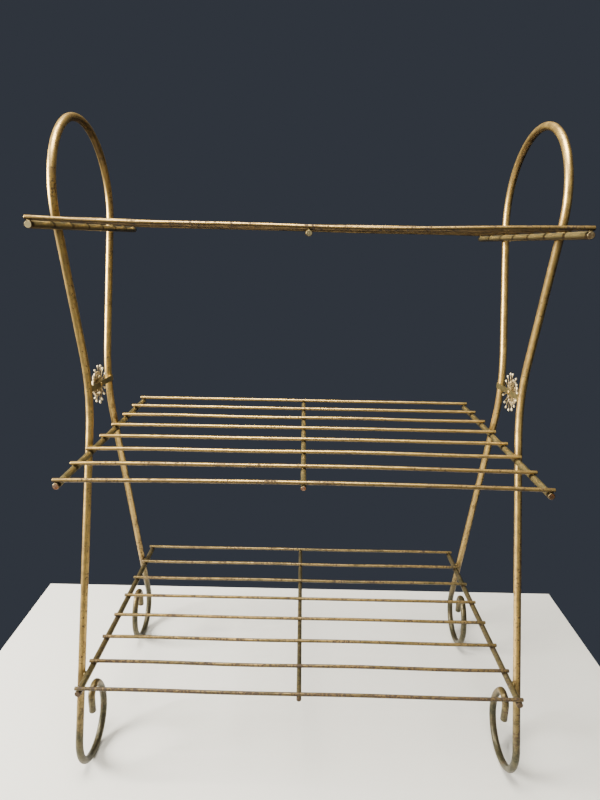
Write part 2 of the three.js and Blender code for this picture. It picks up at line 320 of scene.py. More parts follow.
# %% The paint function
CLOUDS, MOTTLE, GRAIN, SPECKS, SPREAD = 0.06, 0.011, 0.002, 0.0028, 0.03
PALE_LEVELS = (0.32, 0.66)
WORN_LEVELS = (0.63, 0.74)
CHIP_LEVELS = (0.90, 0.94)
GRIME_LEVELS = (0.40, 0.62)
LEVEL_DROP = 0.16
WORN_COVER, WEAR_AND_SHADE_COVER, CHIP_COVER = 0.75, 0.55, 0.85
WHOLE_METALLIC, WHOLE_ROUGHNESS = 0.88, 0.34
UNDER_FADE = 0.8
NEAR_FLOOR = (0.10, 0.24)


def lowered(levels, share):
    """The noise levels between which a layer appears. The more it takes, the lower they are."""
    return [level - LEVEL_DROP * share for level in levels]


def aged_gold(
    name, pale, body, worn, chip,
    wear=0.5, chips=0.35, under=-0.1, dull=0.0, marks=None, wear_and_shade=None, ends=None,
):
    """Gold paint from a pale, a body and a worn colour, with chips of a fourth.

    wear and chips are how much of the surface they take. under is how far down a surface must
    face before the painted underside shade starts. dull is how much the paint darkens near the floor.
    The rest are functions of the tree and the place: marks returns a mask of weld soot and painted
    contact shadow, wear_and_shade a mask of heavier wear and painted shade, and ends a mask and a colour for
    sawn ends.
    """
    material, tree, place = new_paint(name)
    clouds = noise(tree, place, CLOUDS)
    mottle = noise(tree, place, MOTTLE, detail=4.0, roughness=0.6)
    grain = noise(tree, place, GRAIN, detail=2.0)
    specks = noise(tree, place, SPECKS, roughness=0.6)
    spread = noise(tree, place, SPREAD, detail=2.0)

    colour = tree.blend(tree.rise(mottle, *PALE_LEVELS), body, pale)
    patches = clouds * 0.5 + mottle * 0.5
    chip_level = specks + spread * 0.35
    # This mask is heavier wear, and on the frames also painted shade on the sides that face right.
    if wear_and_shade:
        wear_and_shade_mask = wear_and_shade(tree, place)
        patches = patches + wear_and_shade_mask * 0.09
        chip_level = chip_level + wear_and_shade_mask * 0.11
    worn_mask = tree.rise(patches, *lowered(WORN_LEVELS, wear))
    colour = tree.blend(worn_mask * WORN_COVER, colour, worn)
    if wear_and_shade:
        colour = tree.blend(wear_and_shade_mask * WEAR_AND_SHADE_COVER, colour, worn)
    # Painted shade: surfaces that face down are painted dark brown, as they look in shadow.
    below = tree.rise(-1 * facing(tree)[2], under, under + UNDER_FADE)
    colour = tree.blend(below * (0.6 + mottle * 0.6), colour, SHADE_AND_WORN_BROWN)
    metal = WHOLE_METALLIC - worn_mask * 0.1 - below * 0.2
    if dull:
        low = 1 - tree.rise(tree.parts(place)[2] + clouds * 0.10, *NEAR_FLOOR)
        colour = tree.blend(low * dull, colour, FOOT_OLIVE)
        grime = tree.rise(mottle * 0.6 + specks * 0.4, *GRIME_LEVELS)
        colour = tree.blend(low * grime * dull, colour, FOOT_GREEN)
        metal = metal - low * 0.35 * dull
    # The marks are weld soot, and on the shelf rods also painted contact shadow under each wire.
    if marks:
        colour = tree.blend(marks(tree, place) * (0.5 + mottle * 0.6), colour, SOOT_AND_SHADOW_COLOUR)
    chip_mask = tree.rise(chip_level, *lowered(CHIP_LEVELS, chips))
    colour = tree.blend(chip_mask * CHIP_COVER, colour, chip)
    if ends:
        sawn, bare = ends(tree, place)
        colour = tree.blend(sawn, colour, bare)
    inputs = {
        "Base Color": colour,
        "Metallic": metal - chip_mask * 0.5,
        "Roughness": WHOLE_ROUGHNESS + mottle * 0.10 + worn_mask * 0.12 + chip_mask * 0.2,
        "Specular IOR Level": 0.3,
    }
    relief = grain * 0.2 + mottle * 0.3 - chip_mask * 0.6
    return end_paint(material, tree, inputs, relief, strength=0.06)

# %% [markdown]
# ## The side frames
#
# Each side frame is one long rod. It runs from a scroll foot up the leg, in at the waist, round the top loop
# and down again to the other foot.
# A bender makes it as arcs and straight runs, so the path is worked out the same way, arc after arc.
# The sizes below are the radii that the bender was set to. The ends of each straight run follow from them.
# A Geometry Nodes tree then sweeps a circle along the path. The path also says how round the cut ends are.

# %% Sizes of the frame
frame_low, frame_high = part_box("side_frame_left")
ROD_RADIUS = (frame_high.x - frame_low.x) / 2
FRAME_PLANE = -(frame_high.x + frame_low.x) / 2
FRAME_TOP = frame_high.z
band_low, band_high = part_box("waist_band_left")
WAIST_HEIGHT = (band_low.z + band_high.z) / 2
LOOP_RADIUS = 95 * MM
WAIST_HALF_GAP = 39.2 * MM
WAIST_RADIUS = 185 * MM
FOOT_REACH = 169.5 * MM
FOOT_RADIUS = 45 * MM
RETURN_RADIUS = 58 * MM
RETURN_TURN = 47
CURL_RADIUS = 13 * MM
TAIL_LENGTH = 20 * MM
LEVEL, INWARD, DOWN = 0, -270, -450
ROD_SIDES = 32
print("rod radius", round(ROD_RADIUS, 5), "frame plane", round(FRAME_PLANE, 4), "waist", WAIST_HEIGHT)


# %% The path of half a frame
def arc(centre, radius, turn, first, last, step):
    """Points of a bend from the first heading to the last, step degrees apart.

    turn is 1 for a bend to the left and -1 for one to the right.
    """
    count = max(2, math.ceil(abs(last - first) / step))
    points = []
    for heading in np.linspace(first, last, count + 1):
        spoke = math.radians(heading - 90 * turn)
        points.append(centre + radius * Vector((math.cos(spoke), math.sin(spoke))))
    return points


def beside(point, heading, radius):
    """Centre of a right-hand bend that starts at this point and heading."""
    spoke = math.radians(heading - 90)
    return point + radius * Vector((math.cos(spoke), math.sin(spoke)))


def straight_heading(start, start_radius, end, end_radius, sign):
    """Heading of the straight run between two bends that turn opposite ways."""
    across = end - start
    lean = math.degrees(math.asin((start_radius + end_radius) / across.length))
    return math.degrees(math.atan2(across.y, across.x)) + sign * lean


def half_frame():
    """Distance out from the middle and height, from the top of the loop to the end of the tail."""
    loop = Vector((0, FRAME_TOP - ROD_RADIUS - LOOP_RADIUS))
    waist = Vector((WAIST_HALF_GAP + WAIST_RADIUS, WAIST_HEIGHT))
    foot = Vector((FOOT_REACH - FOOT_RADIUS, FOOT_RADIUS + ROD_RADIUS))
    upper = straight_heading(loop, LOOP_RADIUS, waist, WAIST_RADIUS, -1)
    lower = straight_heading(waist, WAIST_RADIUS, foot, FOOT_RADIUS, 1)
    points = arc(loop, LOOP_RADIUS, -1, LEVEL, upper, 4)
    points += arc(waist, WAIST_RADIUS, 1, upper, lower, 3)
    points += arc(foot, FOOT_RADIUS, -1, lower, INWARD, 6)
    curl = INWARD - RETURN_TURN
    points += arc(beside(points[-1], INWARD, RETURN_RADIUS), RETURN_RADIUS, -1, INWARD, curl, 6)[1:]
    points += arc(beside(points[-1], curl, CURL_RADIUS), CURL_RADIUS, -1, curl, DOWN, 9)[1:]
    return points


# %% Round off a cut end
CUT_END = ((1.0, 1.1), (0.985, 0.55), (0.93, 0.2), (0.84, 0.0))


def cut_end(point, direction):
    """Points and girths of a sawn end with its edge filed off. direction points out of the rod."""
    points = [point - direction * back * MM for girth, back in CUT_END]
    return points, [girth for girth, back in CUT_END]


half = half_frame()
tail_tip = half[-1] - Vector((0, TAIL_LENGTH))
tail, tail_girths = cut_end(tail_tip, Vector((0, -1)))
half += tail
half_girths = [1.0] * (len(half) - len(tail)) + tail_girths
print("half a frame has", len(half), "points; its tail ends at height", round(tail_tip.y, 4))


# %% A tree that sweeps a round rod along a path
def recalled(tree, label, kind="FLOAT"):
    """The value that was stored under this label."""
    return tree.add("GeometryNodeInputNamedAttribute", {"data_type": kind}, {"Name": label})


def circle(tree, radius, sides):
    inputs = {"Resolution": sides, "Radius": radius}
    return tree.add("GeometryNodeCurvePrimitiveCircle", {"mode": "RADIUS"}, inputs)


def tube(tree, line, radius, sides):
    """A round tube along a line. The stored girth makes it thicker or thinner."""
    inputs = {
        "Curve": line, "Profile Curve": circle(tree, radius, sides),
        "Scale": recalled(tree, "girth"), "Fill Caps": True,
    }
    return tree.add("GeometryNodeCurveToMesh", inputs=inputs)


def swept_rod_tree():
    tree, given = shape_tree("swept rod", ["Radius"], ["Sides"])
    line = tree.add("GeometryNodeMeshToCurve", inputs={"Mesh": given["Geometry"]})
    end_shape(tree, given, tube(tree, line, given["Radius"], given["Sides"]))
    return tree


swept_rod = swept_rod_tree()


# %% Make both side frames
SOOT_ON_FRAME = (0.004, 0.016)
TURNED_RIGHT = (-0.1, 0.7)
RIGHT_HALF = (0.0, 0.1)
BACK_LEGS, BACK_OF_LOOPS = (-0.03, 0.03), (-0.05, 0.08)
LOOP_HEIGHTS, LEG_HEIGHTS = (0.6, 0.8), (0.15, 0.5)


def frame_path(side):
    """The whole frame from the back tail over the loop to the front tail."""
    x = SIDES[side] * FRAME_PLANE
    back = [Vector((x, p.x, p.y)) for p in half]
    front = [Vector((x, -p.x, p.y)) for p in half[1:]]
    return back[::-1] + front, half_girths[::-1] + half_girths[1:]


def soot_near_shelves(tree, place):
    """A mask round the heights where the shelves are welded on."""
    height = tree.parts(place)[2]
    soot = 0.0
    for shelf in SHELVES:
        low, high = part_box(f"{shelf}_shelf_end_rod_left")
        soot = (1 - tree.rise(abs(height - (low.z + high.z) / 2), *SOOT_ON_FRAME)) + soot
    return soot * 0.6


def worn_and_shaded_frame(tree, place):
    """Painted shade on the sides that face right, most on the front right leg and the loops, with heavier
    wear there and towards the floor.
    """
    x, y, z = tree.parts(place)
    # Painted shade: rod sides that face right, away from the window light, are painted darker.
    painted_side_shade = tree.rise(facing(tree)[0], *TURNED_RIGHT)
    leg = tree.rise(x, *RIGHT_HALF) * (1 - tree.rise(y, *BACK_LEGS))
    loop = tree.rise(z, *LOOP_HEIGHTS) * (0.4 + tree.rise(y, *BACK_OF_LOOPS) * 0.6)
    return painted_side_shade * (0.25 + leg * 0.6 + loop * 0.5) + (1 - tree.rise(z, *LEG_HEIGHTS)) * 0.4


gilt_frame = aged_gold(
    "gilt_frame", CREAM, TAN_GOLD, BROWN, COPPER, wear=0.45, chips=0.45, dull=1.0,
    marks=soot_near_shelves, wear_and_shade=worn_and_shaded_frame,
)
frames = {}
for side in SIDES:
    points, girths = frame_path(side)
    frames[side] = grow(
        f"side_frame_{side}_rod",
        swept_rod,
        {"Radius": ROD_RADIUS, "Sides": ROD_SIDES, "Material": gilt_frame},
        path_mesh(f"side_frame_{side}_path", points, girths),
    )
    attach(frames[side], "root")
    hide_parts(f"side_frame_{side}")
    print(frames[side].name, len(frames[side].data.polygons), "faces")

# %% [markdown]
# ## The shelves
#
# A shelf is eight straight wires laid across three rods and spot-welded at each crossing.
# The wires could be eight cylinders, but then a change of spacing would be eight changes.
# A Geometry Nodes tree makes one wire from a line and places it along the depth of the shelf instead.
# No real wire is dead straight, so the tree also gives each one its own slight bow between its welds.
# Nor is a shelf quite level after years of use. One helper bends wires, rods and welds alike.

# %% Helpers for wires and rods
TIP_RINGS = 2
TIP_THINNING = 0.3
TIP_CURVE = 0.6


def stored(tree, geometry, label, value, kind="FLOAT", domain="POINT"):
    """The geometry with a value kept on it under a label."""
    settings = {"data_type": kind, "domain": domain}
    inputs = {"Geometry": geometry, "Name": label, "Value": value}
    return tree.add("GeometryNodeStoreNamedAttribute", settings, inputs)


def unit_line(tree, rings):
    """A line with that many points."""
    line = tree.add("GeometryNodeCurvePrimitiveLine", inputs={"Start": (0, 0, 0), "End": (1, 0, 0)})
    return tree.add("GeometryNodeResampleCurve", inputs={"Curve": line, "Count": rings})


def moved(tree, geometry, **where):
    """The geometry at another Position, or moved by an Offset."""
    return tree.add("GeometryNodeSetPosition", inputs={"Geometry": geometry, **where})


def filed_line(tree, given, length, spot):
    """A line with both ends filed round. spot turns a distance along it into a point."""
    line = unit_line(tree, given["Rings"])
    index = tree.add("GeometryNodeInputIndex")
    last = given["Rings"] - 1
    share = (index - TIP_RINGS) / (last - TIP_RINGS * 2)
    share = tree.math("MINIMUM", tree.math("MAXIMUM", share, 0.0), 1.0)
    first_end = tree.math("MAXIMUM", TIP_RINGS - index, 0.0) / TIP_RINGS
    last_end = tree.math("MAXIMUM", index - (last - TIP_RINGS), 0.0) / TIP_RINGS
    end = first_end + last_end
    girth = (1 - end * end * TIP_THINNING) ** 0.5
    shift = ((last_end ** TIP_CURVE) - (first_end ** TIP_CURVE)) * given["Tip"]
    along = (share - 0.5) * (length - given["Tip"] * 2) + shift
    return stored(tree, moved(tree, line, Position=spot(along)), "girth", girth)


def luck(tree, low, high, seed, **of):
    """A random vector between low and high for each point or copy."""
    inputs = {0: low, 1: high, "Seed": seed, **of}
    return tree.add("FunctionNodeRandomValue", {"data_type": "FLOAT_VECTOR"}, inputs)


WARP_SIZES = ("Crown", "Front Left", "Front Right", "Back Left", "Back Right")


def warped(tree, given, geometry, depth):
    """Bends a shelf a little: each corner has its own lift, and the front a crown or a sag."""
    x, y = tree.parts(tree.add("GeometryNodeInputPosition"))[:2]
    u = x * 2 / given["Length"]
    right = u * 0.5 + 0.5
    front = tree.math("MAXIMUM", 0.5 - y / depth, 0.0)
    front_lift = given["Front Left"] * (1 - right) + given["Front Right"] * right
    back_lift = given["Back Left"] * (1 - right) + given["Back Right"] * right
    bent = (front_lift + (1 - u * u) * given["Crown"]) * front * front + back_lift * (1 - front)
    return moved(tree, geometry, Offset=tree.vector(z=bent))


# %% A tree for a row of wires
def wire_row_tree():
    sizes = ("Pitch", "Length", "Radius", "Height", "Tip", "Bow", *WARP_SIZES)
    tree, given = shape_tree("wire row", sizes, ["Count", "Rings", "Sides", "Seed"])
    line = filed_line(tree, given, given["Length"], lambda along: tree.vector(x=along))

    depth = given["Pitch"] * (given["Count"] - 1)
    start = tree.vector(y=depth * -0.5, z=given["Height"])
    step = tree.vector(y=given["Pitch"])
    row = tree.add(
        "GeometryNodeMeshLine",
        inputs={"Count": given["Count"], "Start Location": start, "Offset": step},
    )
    wires = tree.add("GeometryNodeInstanceOnPoints", inputs={"Points": row, "Instance": line})
    wires = stored(tree, wires, "wire", tree.add("GeometryNodeInputIndex"), "INT", "INSTANCE")
    wires = tree.add("GeometryNodeRealizeInstances", inputs={"Geometry": wires})

    x = tree.parts(tree.add("GeometryNodeInputPosition"))[0]
    wave = tree.math("SINE", x * (4 * math.pi) / given["Length"])
    drawn = luck(tree, (-1.0, -1.0, -1.0), (1.0, 1.0, 1.0), given["Seed"], ID=recalled(tree, "wire", "INT"))
    aside, up = tree.parts(drawn)[:2]
    bow = tree.vector(y=wave * aside * given["Bow"] * 0.5, z=wave * up * given["Bow"])
    wires = warped(tree, given, moved(tree, wires, Offset=bow), depth)
    end_shape(tree, given, tube(tree, wires, given["Radius"], given["Sides"]))
    return tree


wire_row = wire_row_tree()


# %% A tree for a cross rod
def cross_rod_tree():
    sizes = ("Reach", "Radius", "Across", "Height", "Tip", "Length", "Depth", *WARP_SIZES)
    tree, given = shape_tree("cross rod", sizes, ["Rings", "Sides"])
    line = filed_line(
        tree, given, given["Reach"], lambda along: tree.vector(given["Across"], along, given["Height"])
    )
    line = warped(tree, given, line, given["Depth"])
    end_shape(tree, given, tube(tree, line, given["Radius"], given["Sides"]))
    return tree


cross_rod = cross_rod_tree()

# %% Sizes of the shelves
wire_low, wire_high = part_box("bottom_shelf_wire_1")
WIRE_LENGTH = wire_high.x - wire_low.x
WIRE_RADIUS = (wire_high.z - wire_low.z) / 2
WIRE_COUNT = sum(name.startswith("top_shelf_wire_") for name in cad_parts)
WIRE_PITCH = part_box("bottom_shelf_wire_2")[0].y - wire_low.y
SHELF_DEPTH = WIRE_PITCH * (WIRE_COUNT - 1)
CROSS_RODS = ("end_rod_left", "centre_rod", "end_rod_right")
print("wires", WIRE_COUNT, "at", round(WIRE_PITCH, 4), "length", round(WIRE_LENGTH, 4))


# %% Finish of the shelves
SAWN_COPPER = (0.62, 0.24, 0.10)
SAWN_PINK = (0.80, 0.52, 0.36)
SAWN_PALE = (0.95, 0.80, 0.42)
SAWN_RUST = (0.25, 0.13, 0.055)
SAWN_BROWN = (0.07, 0.045, 0.025)
SOOT_AND_SHADOW_WIDTH = (0.0024, 0.0040)
RUST_SIZE = 0.004
ABOVE_LOW, ABOVE_MIDDLE = (0.2, 0.4), (0.5, 0.6)
ENDS_ABOVE_LOW, RIGHT_ENDS = (0.2, 0.3), (0.1, 0.2)
BEHIND_FRONT = (-0.17, -0.06)
TURNED_FRONT = (0.75, 0.95)
RUST_LEVELS = (0.4, 0.6)


def soot_and_shadow_under_wires(tree, place):
    """A thin dark band under each wire that crosses a rod: painted contact shadow, with some weld soot."""
    y = tree.parts(place)[1]
    steps = (y + SHELF_DEPTH / 2) / WIRE_PITCH
    nearest = abs(steps - tree.math("ROUND", steps)) * WIRE_PITCH
    return 1 - tree.rise(nearest, *SOOT_AND_SHADOW_WIDTH)


def low_shelf(tree, place):
    """A mask that makes the low shelf darker, with more worn patches and chips."""
    return (1 - tree.rise(tree.parts(place)[2], *ABOVE_LOW)) * 0.8


def rubbed_by_use(tree, place):
    """More wear on the front wires, where papers slide over them, and a darker low shelf."""
    front = 1 - tree.rise(tree.parts(place)[1], *BEHIND_FRONT)
    return front * 0.7 + low_shelf(tree, place)


def sawn_ends(tree, place):
    """The sawn front ends: pale on the top shelf, pink and coppery on the middle one, brown below."""
    x, _, height = tree.parts(place)
    mask = tree.rise(-1 * facing(tree)[1], *TURNED_FRONT) * 0.9
    rust = tree.rise(noise(tree, place, RUST_SIZE), *RUST_LEVELS)
    bare = tree.blend(rust, SAWN_COPPER, SAWN_PINK)
    bare = tree.blend(tree.rise(height, *ABOVE_MIDDLE), bare, SAWN_PALE)
    bare = tree.blend(tree.rise(x, *RIGHT_ENDS) * (0.35 + rust * 0.5), bare, SAWN_RUST)
    bare = tree.blend(1 - tree.rise(height, *ENDS_ABOVE_LOW), bare, SAWN_BROWN)
    return mask, bare


gilt_wire = aged_gold(
    "gilt_wire", CREAM, TAN_GOLD, BROWN, DARK,
    wear=0.45, chips=0.5, under=-0.4, dull=2.0, wear_and_shade=rubbed_by_use,
)
gilt_rod = aged_gold(
    "gilt_rod", OLIVE_LIGHT, OLIVE_GOLD, OLIVE_BROWN, DARK, wear=0.6, chips=0.4, dull=2.0,
    marks=soot_and_shadow_under_wires, wear_and_shade=low_shelf, ends=sawn_ends,
)

# %% How each shelf is out of true
def warp(crown=0.0, front_left=0.0, front_right=0.0, back_left=0.0, back_right=0.0):
    """How far, in millimetres, the front's middle and each corner are out of level."""
    lifts = (crown, front_left, front_right, back_left, back_right)
    return {label: lift * MM for label, lift in zip(WARP_SIZES, lifts)}


WARP = {
    "bottom": warp(front_left=6.0, front_right=3.0),
    "middle": warp(crown=3.0),
    "top": warp(crown=-4.0, back_left=4.0),
}
print("out of level:", WARP)

# %% Make the wires and rods of each shelf
WIRE_SEED = 11
WIRE_TIP, WIRE_BOW = 0.7 * MM, 0.7 * MM
ROD_TIP, ROD_SET_IN = 1 * MM, 0.3 * MM
for number, shelf in enumerate(SHELVES):
    low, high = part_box(f"{shelf}_shelf_wire_1")
    wires = grow(
        f"{shelf}_shelf_wires",
        wire_row,
        {
            "Count": WIRE_COUNT, "Pitch": WIRE_PITCH, "Length": WIRE_LENGTH,
            "Radius": WIRE_RADIUS, "Height": (low.z + high.z) / 2, "Tip": WIRE_TIP,
            "Rings": 45, "Sides": 20, "Bow": WIRE_BOW, "Seed": WIRE_SEED + number,
            "Material": gilt_wire, **WARP[shelf],
        },
    )
    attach(wires, "root")
    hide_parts(*(f"{shelf}_shelf_wire_{i + 1}" for i in range(WIRE_COUNT)))
    for rod in CROSS_RODS:
        node = f"{shelf}_shelf_{rod}"
        low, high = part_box(node)
        bar = grow(
            f"{node}_bar",
            cross_rod,
            {
                "Reach": high.y - low.y - ROD_SET_IN, "Radius": (high.z - low.z) / 2,
                "Across": (high.x + low.x) / 2, "Height": (high.z + low.z) / 2, "Tip": ROD_TIP,
                "Rings": 30, "Sides": 24, "Length": WIRE_LENGTH, "Depth": SHELF_DEPTH,
                "Material": gilt_rod, **WARP[shelf],
            },
        )
        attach(bar, "root")
        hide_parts(node)
    print(shelf, "shelf:", len(wires.data.polygons), "faces of wire")

# %% [markdown]
# ## Weld beads
#
# Each crossing is held by a small bead where the two rods were pressed together and melted.
# Without beads the wires would seem to float on the rods, so they matter more than their size suggests.
# A tree copies one small ball to every weld, stretches and turns each copy a little, and roughens it.
# The start mesh holds one point for each weld, with the three half sizes of its bead.

# %% A tree for weld beads
LUMPS_PER_METRE = 550.0
SMALLEST, LARGEST = (0.85, 0.85, 0.85), (1.15, 1.15, 1.15)
LEAN = Vector((0.2, 0.2, 0.3))
WELD_SEED = 31


def weld_bead_tree():
    tree, given = shape_tree("weld beads", ("Rough", "Length", "Depth", *WARP_SIZES), ["Seed"])
    spots = warped(tree, given, given["Geometry"], given["Depth"])
    ball = tree.add("GeometryNodeMeshIcoSphere", inputs={"Radius": 1.0, "Subdivisions": 3})
    stretch = luck(tree, SMALLEST, LARGEST, given["Seed"])
    half_sizes = recalled(tree, "half_sizes", "FLOAT_VECTOR")
    scale = tree.add("ShaderNodeVectorMath", {"operation": "MULTIPLY"}, {0: half_sizes, 1: stretch})
    turn = luck(tree, -LEAN, LEAN, given["Seed"] + 3)
    rotation = tree.add("FunctionNodeEulerToRotation", inputs={"Euler": turn})
    beads = tree.add(
        "GeometryNodeInstanceOnPoints",
        inputs={"Points": spots, "Instance": ball, "Rotation": rotation, "Scale": scale},
    )
    beads = tree.add("GeometryNodeRealizeInstances", inputs={"Geometry": beads})
    place = tree.add("GeometryNodeInputPosition")
    lumps = tree.add(
        "ShaderNodeTexNoise", inputs={"Vector": place, "Scale": LUMPS_PER_METRE, "Detail": 2.0}
    )
    outwards = tree.add(
        "ShaderNodeVectorMath",
        {"operation": "SCALE"},
        {0: tree.add("GeometryNodeInputNormal"), "Scale": (lumps - 0.5) * given["Rough"]},
    )
    end_shape(tree, given, moved(tree, beads, Offset=outwards))
    return tree


weld_beads = weld_bead_tree()
gilt_weld = aged_gold("gilt_weld", OLIVE_GOLD, OLIVE_BROWN, SHADE_AND_WORN_BROWN, DARK, wear=0.6, chips=0.5)


# %% Find each weld
WIRE_BEAD = (2.2 * MM, 1.9 * MM, 0.9 * MM)
FRAME_BEAD = (2.0 * MM, 4.4 * MM, 3.6 * MM)


def frame_reach(height):
    """How far out from the middle the frame's rod is at a height above the feet."""
    for upper, lower in zip(half, half[1:]):
        if upper.y >= height > lower.y:
            return upper.x + (lower.x - upper.x) * (upper.y - height) / (upper.y - lower.y)
    raise ValueError(f"the frame is not at height {height}")


def weld_spots(shelf):
    """Places and half sizes of a shelf's welds: wires to rods, then end rods to frames."""
    spots = []
    wire_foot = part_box(f"{shelf}_shelf_wire_1")[0].z
    for rod in CROSS_RODS:
        low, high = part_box(f"{shelf}_shelf_{rod}")
        for i in range(WIRE_COUNT):
            y = -SHELF_DEPTH / 2 + i * WIRE_PITCH
            spots.append((((low.x + high.x) / 2, y, wire_foot), WIRE_BEAD))
    for side, sign in SIDES.items():
        low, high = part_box(f"{shelf}_shelf_end_rod_{side}")
        middle = (low.z + high.z) / 2
        outer = high.x if sign > 0 else low.x
        for end in (-1, 1):
            spots.append(((outer, end * frame_reach(middle), middle), FRAME_BEAD))
    return spots


def spots_mesh(name, spots):
    """A start mesh with a point for each weld, and the half sizes of its bead."""
    mesh = bpy.data.meshes.new(name)
    mesh.from_pydata([place for place, half_sizes in spots], [], [])
    attribute = mesh.attributes.new("half_sizes", "FLOAT_VECTOR", "POINT")
    attribute.data.foreach_set("vector", [v for place, half_sizes in spots for v in half_sizes])
    return mesh


# %% Make the beads of each shelf
for number, shelf in enumerate(SHELVES):
    beads = grow(
        f"{shelf}_shelf_welds",
        weld_beads,
        {
            "Seed": WELD_SEED + number, "Rough": 0.0009, "Length": WIRE_LENGTH, "Depth": SHELF_DEPTH,
            "Material": gilt_weld, **WARP[shelf],
        },
        spots_mesh(f"{shelf}_weld_spots", weld_spots(shelf)),
    )
    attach(beads, "root")
    print(beads.name, len(beads.data.polygons), "faces")

# %% [markdown]
# ## The waist bands
#
# Where the two legs of a frame come closest, a flat strip hooks round the back rod and runs forward
# to the front rod. There it ends, and a short tail of round wire hangs down behind the rod.
# The strip was cut from sheet and bent by hand, so its thickness is even and its corners are soft.
# It is the same job as the rods: a section along a path. The section is a rounded rectangle, kept upright.
# A fillet on the path gives the bends at the flat seat that carries the rosette.

# %% A tree for a bent strip
def rounded(tree, curve, radius, count):
    """The curve with each corner rounded by count more points."""
    inputs = {"Curve": curve, "Radius": radius, "Count": count, "Limit Radius": True}
    return tree.add("GeometryNodeFilletCurve", {"mode": "POLY"}, inputs)


def bent_strip_tree():
    tree, given = shape_tree("bent strip", ["Width", "Thickness", "Corner", "Bend"])
    line = tree.add("GeometryNodeMeshToCurve", inputs={"Mesh": given["Geometry"]})
    line = rounded(tree, line, given["Bend"], 4)
    line = tree.add("GeometryNodeSetCurveNormal", {"mode": "Z_UP"}, {"Curve": line})
    section = tree.add(
        "GeometryNodeCurvePrimitiveQuadrilateral",
        {"mode": "RECTANGLE"},
        {"Width": given["Thickness"], "Height": given["Width"]},
    )
    section = rounded(tree, section, given["Corner"], 3)
    strip = tree.add(
        "GeometryNodeCurveToMesh",
        inputs={"Curve": line, "Profile Curve": section, "Fill Caps": True},
    )
    end_shape(tree, given, strip)
    return tree


bent_strip = bent_strip_tree()

# %% Make both bands
BAND_THICKNESS = 1.2 * MM
SEAT_SET_IN = 2.5 * MM
SEAT_LENGTH = 16 * MM
HOOK_GAP = 0.2 * MM
HOOK_RADIUS = ROD_RADIUS + HOOK_GAP + BAND_THICKNESS / 2
HOOK_OVERLAP = 20
FRONT_GAP = 0.1 * MM
TAIL_RADIUS = 1.3 * MM
TAIL_ABOVE, TAIL_BELOW = 2 * MM, 12 * MM
TAIL_SLANT = 0.6 * MM


def band_path(side):
    """The strip's middle, seen from above: round the back rod, along the seat and to the front rod."""
    angles = np.radians(np.arange(-HOOK_OVERLAP, 181, 10))
    plan = [(HOOK_RADIUS * math.cos(a), WAIST_HALF_GAP + HOOK_RADIUS * math.sin(a)) for a in angles]
    plan += [(-SEAT_SET_IN, SEAT_LENGTH / 2), (-SEAT_SET_IN, -SEAT_LENGTH / 2)]
    plan += [(0.0, -WAIST_HALF_GAP + ROD_RADIUS + FRONT_GAP)]
    sign = SIDES[side]
    return [Vector((sign * (FRAME_PLANE + x), y, WAIST_HEIGHT)) for x, y in plan]


gilt_band = aged_gold("gilt_band", OLIVE_LIGHT, OLIVE_GOLD, OLIVE_BROWN, DARK, wear=0.55, chips=0.3)
for side in SIDES:
    points = band_path(side)
    band = grow(
        f"waist_band_{side}_strip",
        bent_strip,
        {
            "Width": band_high.z - band_low.z, "Thickness": BAND_THICKNESS,
            "Corner": 0.3 * MM, "Bend": 4 * MM, "Material": gilt_band,
        },
        path_mesh(f"waist_band_{side}_path", points, [1.0] * len(points)),
    )
    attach(band, "root")
    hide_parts(f"waist_band_{side}")
    print(band.name, "measures", [round(v, 4) for v in band.dimensions])

    rear = -WAIST_HALF_GAP + ROD_RADIUS + TAIL_RADIUS
    top = Vector((SIDES[side] * FRAME_PLANE, rear + TAIL_SLANT, WAIST_HEIGHT + TAIL_ABOVE))
    foot, girths = cut_end(Vector((top.x, rear, WAIST_HEIGHT - TAIL_BELOW)), Vector((0, 0, -1)))
    tail = grow(
        f"waist_band_{side}_tail",
        swept_rod,
        {"Radius": TAIL_RADIUS, "Sides": 16, "Material": gilt_band},
        path_mesh(f"waist_band_{side}_tail_path", [top, *foot], [1.0, *girths]),
    )
    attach(tail, "root")

# %% [markdown]
# ## The rosettes
#
# Each rosette is a spray of thin stems with silvery drops at their tips, a smaller cup inside, and a rivet.
# The cup has stems of its own, a scalloped rim of wire and eight petals that lean inwards.
# On the real one the stems were probably cut and pressed from one disc, with the drops left at the ends.
# A tree makes one stem as a line whose girth swells into a drop, and copies it round the centre.
# Each copy is turned, lifted and shortened a little differently, as such thin stems are after years of use.

# %% A tree for a ring of stems with drops
DROP_SHAPE = 2.6
STEM_CURVE = 1.4


